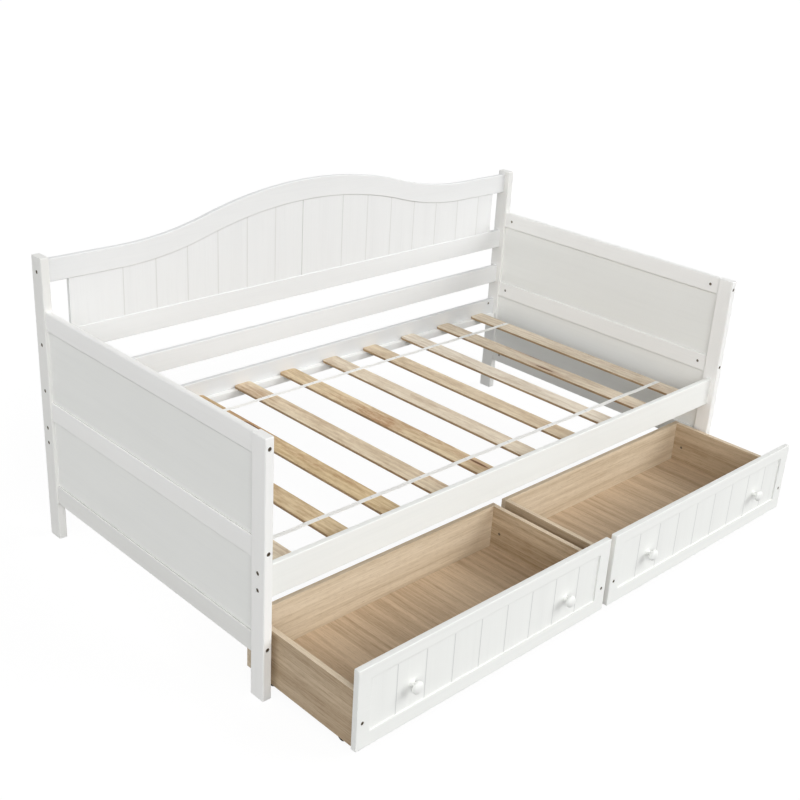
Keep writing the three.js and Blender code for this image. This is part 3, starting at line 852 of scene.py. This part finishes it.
# %% Put the smooth boards in place
# Painted light on the posts and arms: the front posts and the arms' top and middle rails take the whitest coat
# as a painted highlight, the rear posts and the arms' bottom rails a greyer coat as painted shade.
arm_coats = {"top": highlight_paints["Y"], "middle": highlight_paints["Y"], "bottom": shade_dimmed_paints["Y"]}
for side in ("left", "right"):
    for row, coat in (("front", highlight_paints["Z"]), ("rear", shade_dimmed_paints["Z"])):
        smooth_board(f"{row}_{side}_post", f"{row}_{side}_post_painted", "frame", coat)
    for rail, coat in arm_coats.items():
        smooth_board(f"{side}_arm_{rail}_rail", f"{side}_arm_{rail}_rail_painted", "frame", coat)
    for level in ("lower", "upper"):
        node = f"{side}_arm_{level}_panel"
        fill_gap(smooth_board(node, f"{node}_painted", "frame", paints["Y"]), 0)
    drawer = f"{side}_drawer"
    round_opening(smooth_board(f"{drawer}_front_frame", f"{drawer}_front_frame_painted", drawer, paints["X"]))
    front_panel = smooth_board(f"{drawer}_front_panel", f"{drawer}_front_panel_painted", drawer, board_paint)
    shade_grooves(fill_gap(front_panel, 1))
    # The sides take the darker veneer as painted shade, their upward faces a painted highlight.
    for board in ("left_side", "right_side"):
        node = f"{drawer}_{board}"
        upper_edge_highlight(smooth_board(node, f"{node}_veneered", drawer, veneers["side"]))
# Painted light on the rails: the back rails and the rear side rail take greyer coats as painted shade, the
# ledgers the whitest coat as a painted highlight.
rail_coats = {
    "crest_rail": back_paint_in_shade, "back_lower_rail": back_paint_in_shade, "back_middle_rail": back_paint_in_shade,
    "front_side_rail": paints["X"], "rear_side_rail": rear_rail_paint_in_shade,
    "front_slat_ledger": highlight_paints["X"], "rear_slat_ledger": highlight_paints["X"],
}
for rail, coat in rail_coats.items():
    smooth_board(rail, f"{rail}_painted", "frame", coat)
shade_grooves(smooth_board("back_panel", "back_panel_painted", "frame", back_board_paint_in_shade))

# %% [markdown]
# ## Slats
#
# A slat is a planed pine board. It starts as a block the size of the frame's slat. One bevel
# rounds the four upright corners at its ends, and a second one eases the edges all round.

# %% Model the slats
SLAT_END_ROUND = 12 * MM
SLAT_EASE = 2.5 * MM
SLAT_COUNT = len(slat_paleness)


def is_level(a, b):
    return abs((b - a).z) < TOUCHING


def round_edges(piece, test, width, segments):
    edit(piece, edges=test)
    bpy.ops.mesh.bevel(offset=width, segments=segments, affect="EDGES", clamp_overlap=True)
    done()
    return piece


for number, material in enumerate(pines, start=1):
    node = f"slat_{number:02d}"
    slat = block(f"pine_{node}", *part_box(node))
    round_edges(slat, is_along(2), SLAT_END_ROUND, 8)
    round_edges(slat, is_level, SLAT_EASE, 4)
    even_faces(smooth(slat, angle=50))
    dress(slat, material)
    # The side faces take the browner pine: the sawn wood's colour and painted shade.
    second_coat(slat, pine_edge, lambda normal: abs(normal.z) < TILTED)
    stand_for(slat, "frame", node)

# %% [markdown]
# ## Knobs
#
# The knobs are turned on a lathe, so they are made as a lathe makes them: the outline of one
# side, spun round the knob's own line. The outline is a mushroom: a foot, a thin neck and a
# round head. One knob is turned, and each of the four is a copy of it.

# %% Turn a knob
KNOB_OUTLINE_SHARES = [
    (0, 0), (0.5, 0), (0.52, 0.03), (0.5, 0.07), (0.42, 0.13), (0.375, 0.2), (0.37, 0.33), (0.42, 0.41),
    (0.62, 0.48), (0.82, 0.53), (0.93, 0.58), (0.985, 0.64), (1, 0.72), (0.97, 0.8), (0.88, 0.87),
    (0.72, 0.93), (0.52, 0.97), (0.27, 0.993), (0, 1),
]
KNOB_STEPS = 40


def turned(name, outline, centre, axis, steps):
    """A body turned round an axis. The outline gives radii and heights along it, from centre."""
    deselect()
    along = {"X": Vector((1, 0, 0)), "-Y": Vector((0, -1, 0)), "Z": Vector((0, 0, 1))}[axis]
    out = Vector((0, 0, 1)) if axis != "Z" else Vector((1, 0, 0))
    mesh = bpy.data.meshes.new(name)
    points = [Vector(centre) + along * height + out * radius for radius, height in outline]
    mesh.from_pydata(points, [(i, i + 1) for i in range(len(points) - 1)], [])
    piece = new_object(name, mesh)
    edit_all(piece)
    bpy.ops.mesh.spin(steps=steps, angle=2 * math.pi, center=centre, axis=along)
    bpy.ops.mesh.select_all(action="SELECT")
    bpy.ops.mesh.remove_doubles(threshold=TOUCHING)
    bpy.ops.mesh.normals_make_consistent(inside=False)
    done()
    return smooth(piece, 35)


def middle(box):
    return (box[0] + box[1]) / 2


def place_copies(first, first_box, bodies, prefix, material):
    """Puts a copy of a piece in each node's place. bodies tells which body each node rides on."""
    for node, body in bodies.items():
        mesh = first.data.copy()
        mesh.transform(Matrix.Translation(middle(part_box(node)) - middle(first_box)))
        copied = dress(new_object(prefix + node, mesh), material)
        stand_for(copied, body, node)
    bpy.data.objects.remove(first)


# %% The four knobs
knob_bodies = {f"{side}_drawer_{place}_knob": f"{side}_drawer" for side in ("left", "right")
               for place in ("left", "right")}
knob_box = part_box("left_drawer_left_knob")
knob_radius = (knob_box[1].z - knob_box[0].z) / 2
knob_length = knob_box[1].y - knob_box[0].y
knob_foot = Vector((middle(knob_box).x, knob_box[1].y, middle(knob_box).z))
first_knob = turned(
    "first_knob",
    [(radius * knob_radius, height * knob_length) for radius, height in KNOB_OUTLINE_SHARES],
    knob_foot, "-Y", KNOB_STEPS,
)
place_copies(first_knob, knob_box, knob_bodies, "turned_", paints["Y"])
print("knobs:", len(knob_bodies), "radius in mm:", round(knob_radius / MM, 1))

# %% [markdown]
# ## Bolts and barrel nuts
#
# The bed is held by bolts that go through the posts and into barrel nuts in the rails. Each
# bolt sits in a shallow round recess and has a hexagon socket. A barrel nut is a steel cylinder
# in a hole across the rail, with a slot to turn it until it faces the bolt. The recesses are
# cut in the frame already, so the steel goes where they are.

# %% Places of the bolts
SIDE_BOLT_RISES = (31 * MM, 80 * MM)
POST_RECESS = 4 * MM
POST_HEAD_RADIUS = 5.8 * MM
DRAWER_RECESS = 3 * MM
DRAWER_HEAD_RADIUS = 5.1 * MM
DRAWER_BOLT_RISE = 78 * MM
DRAWER_BOLT_INSET = 18.7 * MM


def heights_of(*rails):
    return [middle(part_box(rail)).z for rail in rails]


side_rail_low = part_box("front_side_rail")[0].z
side_heights = [side_rail_low + rise for rise in SIDE_BOLT_RISES]
arm_heights = heights_of("left_arm_bottom_rail", "left_arm_middle_rail", "left_arm_top_rail")
crest_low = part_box("crest_rail")[0].z
CREST_END_MIDDLE = 34.5 * MM
back_heights = heights_of("back_middle_rail", "back_lower_rail") + [crest_low + CREST_END_MIDDLE]
print("bolt heights in mm:", [round(z / MM) for z in side_heights + arm_heights + back_heights])

# %% Model a bolt with a socket
HEAD_SUNK = 0.9 * MM
HEAD_SIDES = 24
HEAD_BEVEL_SHARE = 0.12
SOCKET_RIM_SHARE = 0.36
SOCKET_TAPER_SHARE = 0.02
SOCKET_DEPTH_SHARE = 0.7


def axis_of(outward):
    """The name of the axis that a direction lies along."""
    return "XYZ"[[abs(part) > 0.5 for part in outward].index(True)]


def socket_bolt(name, mouth, outward, radius, depth):
    """A bolt head at the bottom of a recess. mouth is the recess's middle on the face, outward its axis."""
    mouth, outward = Vector(mouth), Vector(outward)
    height = depth - HEAD_SUNK
    centre = mouth - outward * (depth - height / 2)
    head = drum(name, centre, radius, height, axis_of(outward), HEAD_SIDES)
    edit(head, faces=facing(outward))
    bpy.ops.mesh.bevel(offset=HEAD_BEVEL_SHARE * radius, segments=2, affect="EDGES")
    done()
    edit(head, faces=lambda centre, normal: normal.dot(outward) > 0.99 and
         (centre - mouth).cross(outward).length < 0.1 * radius)
    bpy.ops.mesh.inset(thickness=SOCKET_RIM_SHARE * radius, depth=0)
    bpy.ops.mesh.inset(thickness=SOCKET_TAPER_SHARE * radius, depth=-SOCKET_DEPTH_SHARE * height)
    done()
    return smooth(head)


def fit(name, pieces, material, body):
    """Joins small pieces to one, in one material, and sets it on its body."""
    fitted = dress(join(name, pieces), material)
    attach(fitted, body)
    return fitted


def place_all(make, name, body, places, material, *sizes):
    """Makes a bolt or a nut at each place, joins them to one piece, and says how many there are."""
    made = [make(f"{name}_{i}", mouth, outward, *sizes) for i, (mouth, outward) in enumerate(places)]
    fit(name, made, material, body)
    return len(places)


# %% Bolts in the posts
post_bolts = 0
for post in ("front_left", "front_right", "rear_left", "rear_right"):
    low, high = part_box(f"{post}_post")
    out_x, out_y = (-1 if "left" in post else 1), (-1 if "front" in post else 1)
    face_x, face_y = (low.x if out_x < 0 else high.x), (low.y if out_y < 0 else high.y)
    centre = (low + high) / 2
    places = [((face_x, centre.y, z), (out_x, 0, 0))
              for z in side_heights + (back_heights if out_y > 0 else [])]
    places += [((centre.x, face_y, z), (0, out_y, 0)) for z in arm_heights]
    post_bolts += place_all(
        socket_bolt, f"{post}_post_bolts", "frame", places, browned_steel, POST_HEAD_RADIUS, POST_RECESS,
    )
print("bolts in the posts:", post_bolts)

# %% Bolts in the drawers
drawer_bolts = 0
for side in ("left", "right"):
    drawer = f"{side}_drawer"
    front_low, front_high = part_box(f"{drawer}_front_frame")
    drawer_back_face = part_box(f"{drawer}_back")[1].y
    z = front_low.z + DRAWER_BOLT_RISE
    places = []
    for board in ("left_side", "right_side"):
        sign = -1 if board == "left_side" else 1
        front_x = (front_low.x if sign < 0 else front_high.x) - sign * DRAWER_BOLT_INSET
        places.append(((front_x, front_low.y, z), (0, -1, 0)))
        places.append(((middle(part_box(f"{drawer}_{board}")).x, drawer_back_face, z), (0, 1, 0)))
    drawer_bolts += place_all(
        socket_bolt, f"{drawer}_bolts", drawer, places, browned_steel, DRAWER_HEAD_RADIUS, DRAWER_RECESS,
    )
print("bolts in the drawers:", drawer_bolts)

# %% Model a barrel nut
BARREL_RADIUS = 4.7 * MM
BARREL_FROM_END = 32.5 * MM
BARREL_LENGTH = 9.5 * MM
BARREL_SUNK = 0.8 * MM
DRAWER_BARREL_FROM_END = 33 * MM
DRAWER_BARREL_LENGTH = 7.5 * MM
SLOT_WIDTH = 1.4 * MM
SLOT_DEPTH = 1.3 * MM


def barrel_nut(name, mouth, outward, length):
    """A steel barrel just inside a hole, with a screwdriver slot across its end."""
    outward = Vector(outward)
    top = Vector(mouth) - outward * BARREL_SUNK
    barrel = drum(name, top - outward * length / 2, BARREL_RADIUS, length, axis_of(outward), HEAD_SIDES)
    across = Vector((0, 0, 1))
    for offset in (-SLOT_WIDTH / 2, SLOT_WIDTH / 2):
        edit(barrel, faces=facing(outward))
        bpy.ops.mesh.bisect(plane_co=top + across * offset, plane_no=across)
        done()
    edit(barrel, faces=lambda centre, normal: normal.dot(outward) > 0.9 and
         abs((centre - top).dot(across)) < SLOT_WIDTH / 4)
    bpy.ops.mesh.extrude_region_move(TRANSFORM_OT_translate={"value": -outward * SLOT_DEPTH})
    done()
    return smooth(barrel)


def place_barrels(name, body, places, length=BARREL_LENGTH):
    return place_all(barrel_nut, name, body, places, nut_steel, length)


# %% Nuts in the arms and the drawers
nuts = 0
for side in ("left", "right"):
    out_x = 1 if side == "left" else -1
    places = []
    for rail in ("bottom", "middle", "top"):
        low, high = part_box(f"{side}_arm_{rail}_rail")
        face_x = high.x if out_x > 0 else low.x
        for y in (low.y + BARREL_FROM_END, high.y - BARREL_FROM_END):
            places.append(((face_x, y, (low.z + high.z) / 2), (out_x, 0, 0)))
    nuts += place_barrels(f"{side}_arm_barrel_nuts", "frame", places)

    drawer = f"{side}_drawer"
    places = []
    for board in ("left_side", "right_side"):
        low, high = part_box(f"{drawer}_{board}")
        inward = 1 if board == "left_side" else -1
        face_x = high.x if inward > 0 else low.x
        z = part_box(f"{drawer}_front_frame")[0].z + DRAWER_BOLT_RISE
        for y in (low.y + DRAWER_BARREL_FROM_END, high.y - DRAWER_BARREL_FROM_END):
            places.append(((face_x, y, z), (inward, 0, 0)))
    nuts += place_barrels(f"{drawer}_barrel_nuts", drawer, places, DRAWER_BARREL_LENGTH)
print("barrel nuts so far:", nuts)

# %% Nuts in the side rails and the back
left_post_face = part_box("front_left_post")[1].x
right_post_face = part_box("front_right_post")[0].x
barrel_xs = (left_post_face + BARREL_FROM_END, right_post_face - BARREL_FROM_END)
front_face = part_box("front_side_rail")[1].y
rear_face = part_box("rear_side_rail")[0].y
back_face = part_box("back_lower_rail")[1].y
nuts += place_barrels(
    "side_rail_barrel_nuts", "frame",
    [((x, y, side_heights[-1]), (0, out, 0)) for x in barrel_xs
     for y, out in ((front_face, 1), (rear_face, -1))],
)
nuts += place_barrels(
    "back_barrel_nuts", "frame", [((x, back_face, z), (0, 1, 0)) for x in barrel_xs for z in back_heights],
)
print("barrel nuts:", nuts)

# %% [markdown]
# ## Castors
#
# Each drawer stands on four fixed castors. A castor is a small fork of pressed steel under the
# drawer's bottom, with a black wheel on a pin. The wheel is turned like the knob: a rounded
# tread with two fine lines, and a raised hub. It rides on its own body, so that it can spin.

# %% Turn the wheels
WHEEL_STEPS = 48
WHEEL_HALF_OUTLINE = [
    (0.0, 0.42), (0.3, 0.42), (0.34, 0.5), (0.5, 0.5), (0.56, 0.38), (0.74, 0.38), (0.8, 0.5), (0.9, 0.5),
    (0.96, 0.45), (0.99, 0.36), (1.0, 0.24), (1.0, 0.17), (0.975, 0.15), (0.975, 0.13), (1.0, 0.11),
]
WHEEL_OUTLINE_SHARES = [(radius, -height) for radius, height in WHEEL_HALF_OUTLINE] + WHEEL_HALF_OUTLINE[::-1]
first_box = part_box("left_drawer_front_left_wheel")
wheel_radius = (first_box[1].z - first_box[0].z) / 2
wheel_width = first_box[1].x - first_box[0].x
first_wheel = turned(
    "castor_wheel",
    [(radius * wheel_radius, height * wheel_width) for radius, height in WHEEL_OUTLINE_SHARES],
    middle(first_box), "X", WHEEL_STEPS,
)
wheel_bodies = {node: body for body, members in frame["record"]["behaviour"]["bodies"].items()
                for node in members if node.endswith("_wheel")}
place_copies(first_wheel, first_box, wheel_bodies, "moulded_", plastic)
print("wheels:", len(wheel_bodies), "radius in mm:", round(wheel_radius / MM, 1))

# %% Model a castor's fork
PLATE_THICKNESS = 1.6 * MM
PLATE_LENGTH = 34 * MM
PLATE_CORNER = 2 * MM
CHEEK_THICKNESS = 1 * MM
CHEEK_FOOT_SHARE = 0.36
CHEEK_ROUND = 5.5 * MM
AXLE_RADIUS = 2.6 * MM
AXLE_STANDS_OUT = 0.6 * MM
FORK_PLAY = 0.3 * MM
SCREW_RADIUS = 2.6 * MM
SCREW_HEIGHT = 0.8 * MM
SCREW_FROM_END = 3.5 * MM


def castor_fork(name, wheel_box, under):
    """A bent steel fork round a wheel, hung from the height under."""
    low, high = wheel_box
    centre = (low + high) / 2
    half = (high.x - low.x) / 2 + FORK_PLAY + CHEEK_THICKNESS
    foot = centre.z - CHEEK_ROUND

    def is_foot(a, b):
        return max(a.z, b.z) < foot + NEAR and abs((b - a).x) > CHEEK_THICKNESS / 2

    fork = [block(
        name, (centre.x - half, centre.y - PLATE_LENGTH / 2, under - PLATE_THICKNESS),
        (centre.x + half, centre.y + PLATE_LENGTH / 2, under),
    )]
    round_edges(fork[0], is_along(2), PLATE_CORNER, 3)
    for sign in (-1, 1):
        outer = centre.x + sign * half
        inner = outer - sign * CHEEK_THICKNESS
        cheek = block(
            f"{name}_cheek", (min(outer, inner), centre.y - PLATE_LENGTH / 2, foot),
            (max(outer, inner), centre.y + PLATE_LENGTH / 2, under - PLATE_THICKNESS / 2),
        )
        edit(cheek, faces=facing((0, 0, -1)))
        bpy.ops.transform.resize(value=(1, CHEEK_FOOT_SHARE, 1))
        done()
        round_edges(cheek, is_foot, CHEEK_ROUND, 6)
        fork.append(smooth(cheek))
    fork.append(drum(f"{name}_pin", centre, AXLE_RADIUS, 2 * (half + AXLE_STANDS_OUT), "X", 20))
    for end in (-1, 1):
        screw_y = centre.y + end * (PLATE_LENGTH / 2 - SCREW_FROM_END)
        screw_z = under - PLATE_THICKNESS - SCREW_HEIGHT / 2
        fork.append(drum(f"{name}_screw", (centre.x, screw_y, screw_z), SCREW_RADIUS, SCREW_HEIGHT, "Z", 16))
    return join(name, fork)


# %% Drawer bottoms with their forks
BOTTOM_THICKNESS = 6 * MM
BOTTOM_EASE = 0.4 * MM

for side in ("left", "right"):
    drawer = f"{side}_drawer"
    low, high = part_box(f"{drawer}_bottom")
    board = block(f"{drawer}_bottom_board", (low.x, low.y, high.z - BOTTOM_THICKNESS), high)
    round_edges(board, lambda a, b: True, BOTTOM_EASE, 2)
    dress(board, veneers["bottom"])
    stand_for(board, drawer, f"{drawer}_bottom")
    under = high.z - BOTTOM_THICKNESS
    forks = [castor_fork(wheel.replace("wheel", "fork"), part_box(wheel), under)
             for wheel in wheel_bodies if wheel.startswith(drawer)]
    fit(f"{drawer}_castor_forks", forks, zinc, drawer)
print("castor forks:", len(wheel_bodies))

# %% [markdown]
# ## Tapes
#
# Two woven tapes run over the slats and keep them apart. Each is a flat strip, fastened to
# every slat with a staple. Between two slats it hangs a hair lower, because it is not pulled
# tight. The strip is laid flat, cut into short lengths, and each length's points are let down
# by a curve that is lowest half way between the slats. A wall then gives it its thickness.

# %% Lay the tapes
TAPE_SAG = 1.6 * MM
TAPE_THICKNESS = 1.0 * MM
TAPE_CUTS = 240


def tape_drop(x, edges):
    """How far the tape hangs below the slats at x. edges are the slats' left and right sides."""
    for (_, left), (right, _) in zip(edges, edges[1:]):
        if left < x < right:
            share = (x - left) / (right - left)
            return TAPE_SAG * 4 * share * (1 - share)
    return 0


slat_edges = [(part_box(f"slat_{n:02d}")[0].x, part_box(f"slat_{n:02d}")[1].x) for n in range(1, SLAT_COUNT + 1)]
tapes = []
for place in ("front", "rear"):
    low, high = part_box(f"{place}_slat_tape")
    deselect()
    bpy.ops.mesh.primitive_plane_add(size=1, location=(*middle((low, high)).xy, low.z))
    tape = bpy.context.active_object
    tape.name = f"{place}_woven_tape"
    tape.scale = (high.x - low.x, high.y - low.y, 1)
    settle(tape)
    edit(tape, edges=is_along(0))
    bpy.ops.mesh.subdivide(number_cuts=TAPE_CUTS)
    done()
    for vertex in tape.data.vertices:
        vertex.co.z -= tape_drop(vertex.co.x, slat_edges)
    flat_size = (high.y - low.y, high.x - low.x)
    wall = tape.modifiers.new("thickness", "SOLIDIFY")
    wall.thickness = TAPE_THICKNESS
    wall.offset = 1
    activate(tape)
    bpy.ops.object.modifier_apply(modifier=wall.name)
    smooth(tape, angle=30)
    dress(tape, tape_material)
    stand_for(tape, "frame", f"{place}_slat_tape")
    tapes.append((tape, flat_size))
print("tapes:", len(tapes), "flat size in mm:", [round(side / MM, 1) for side in tapes[0][1]])

# %% Staples
STAPLE_WIRE = 0.5 * MM
STAPLE_CROWN = 9 * MM
STAPLE_LEG = 4 * MM
STAPLE_EASE = 0.15 * MM


def staple(name, centre):
    """A staple across the tape, its crown on the cloth and its legs in the wood."""
    half = Vector((STAPLE_WIRE, STAPLE_CROWN / 2, STAPLE_WIRE / 2))
    crown = block(name, centre - half, centre + half)
    legs = []
    for sign in (-1, 1):
        top = centre + Vector((0, sign * (STAPLE_CROWN / 2 - STAPLE_WIRE), 0))
        leg_half = Vector((STAPLE_WIRE, STAPLE_WIRE, 0))
        legs.append(block(name, top - leg_half - Vector((0, 0, STAPLE_LEG)), top + leg_half))
    round_edges(crown, is_along(1), STAPLE_EASE, 2)
    return join(name, [crown, *legs])


for tape, flat_size in tapes:
    place = tape.name.split("_")[0]
    low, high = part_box(f"{place}_slat_tape")
    top = low.z + TAPE_THICKNESS + STAPLE_WIRE / 2
    crowns = [staple(f"{place}_staple_{i}", Vector(((left + right) / 2, middle((low, high)).y, top)))
              for i, (left, right) in enumerate(slat_edges)]
    staples = fit(f"{place}_tape_staples", crowns, zinc, "frame")
print("staples:", 2 * SLAT_COUNT)
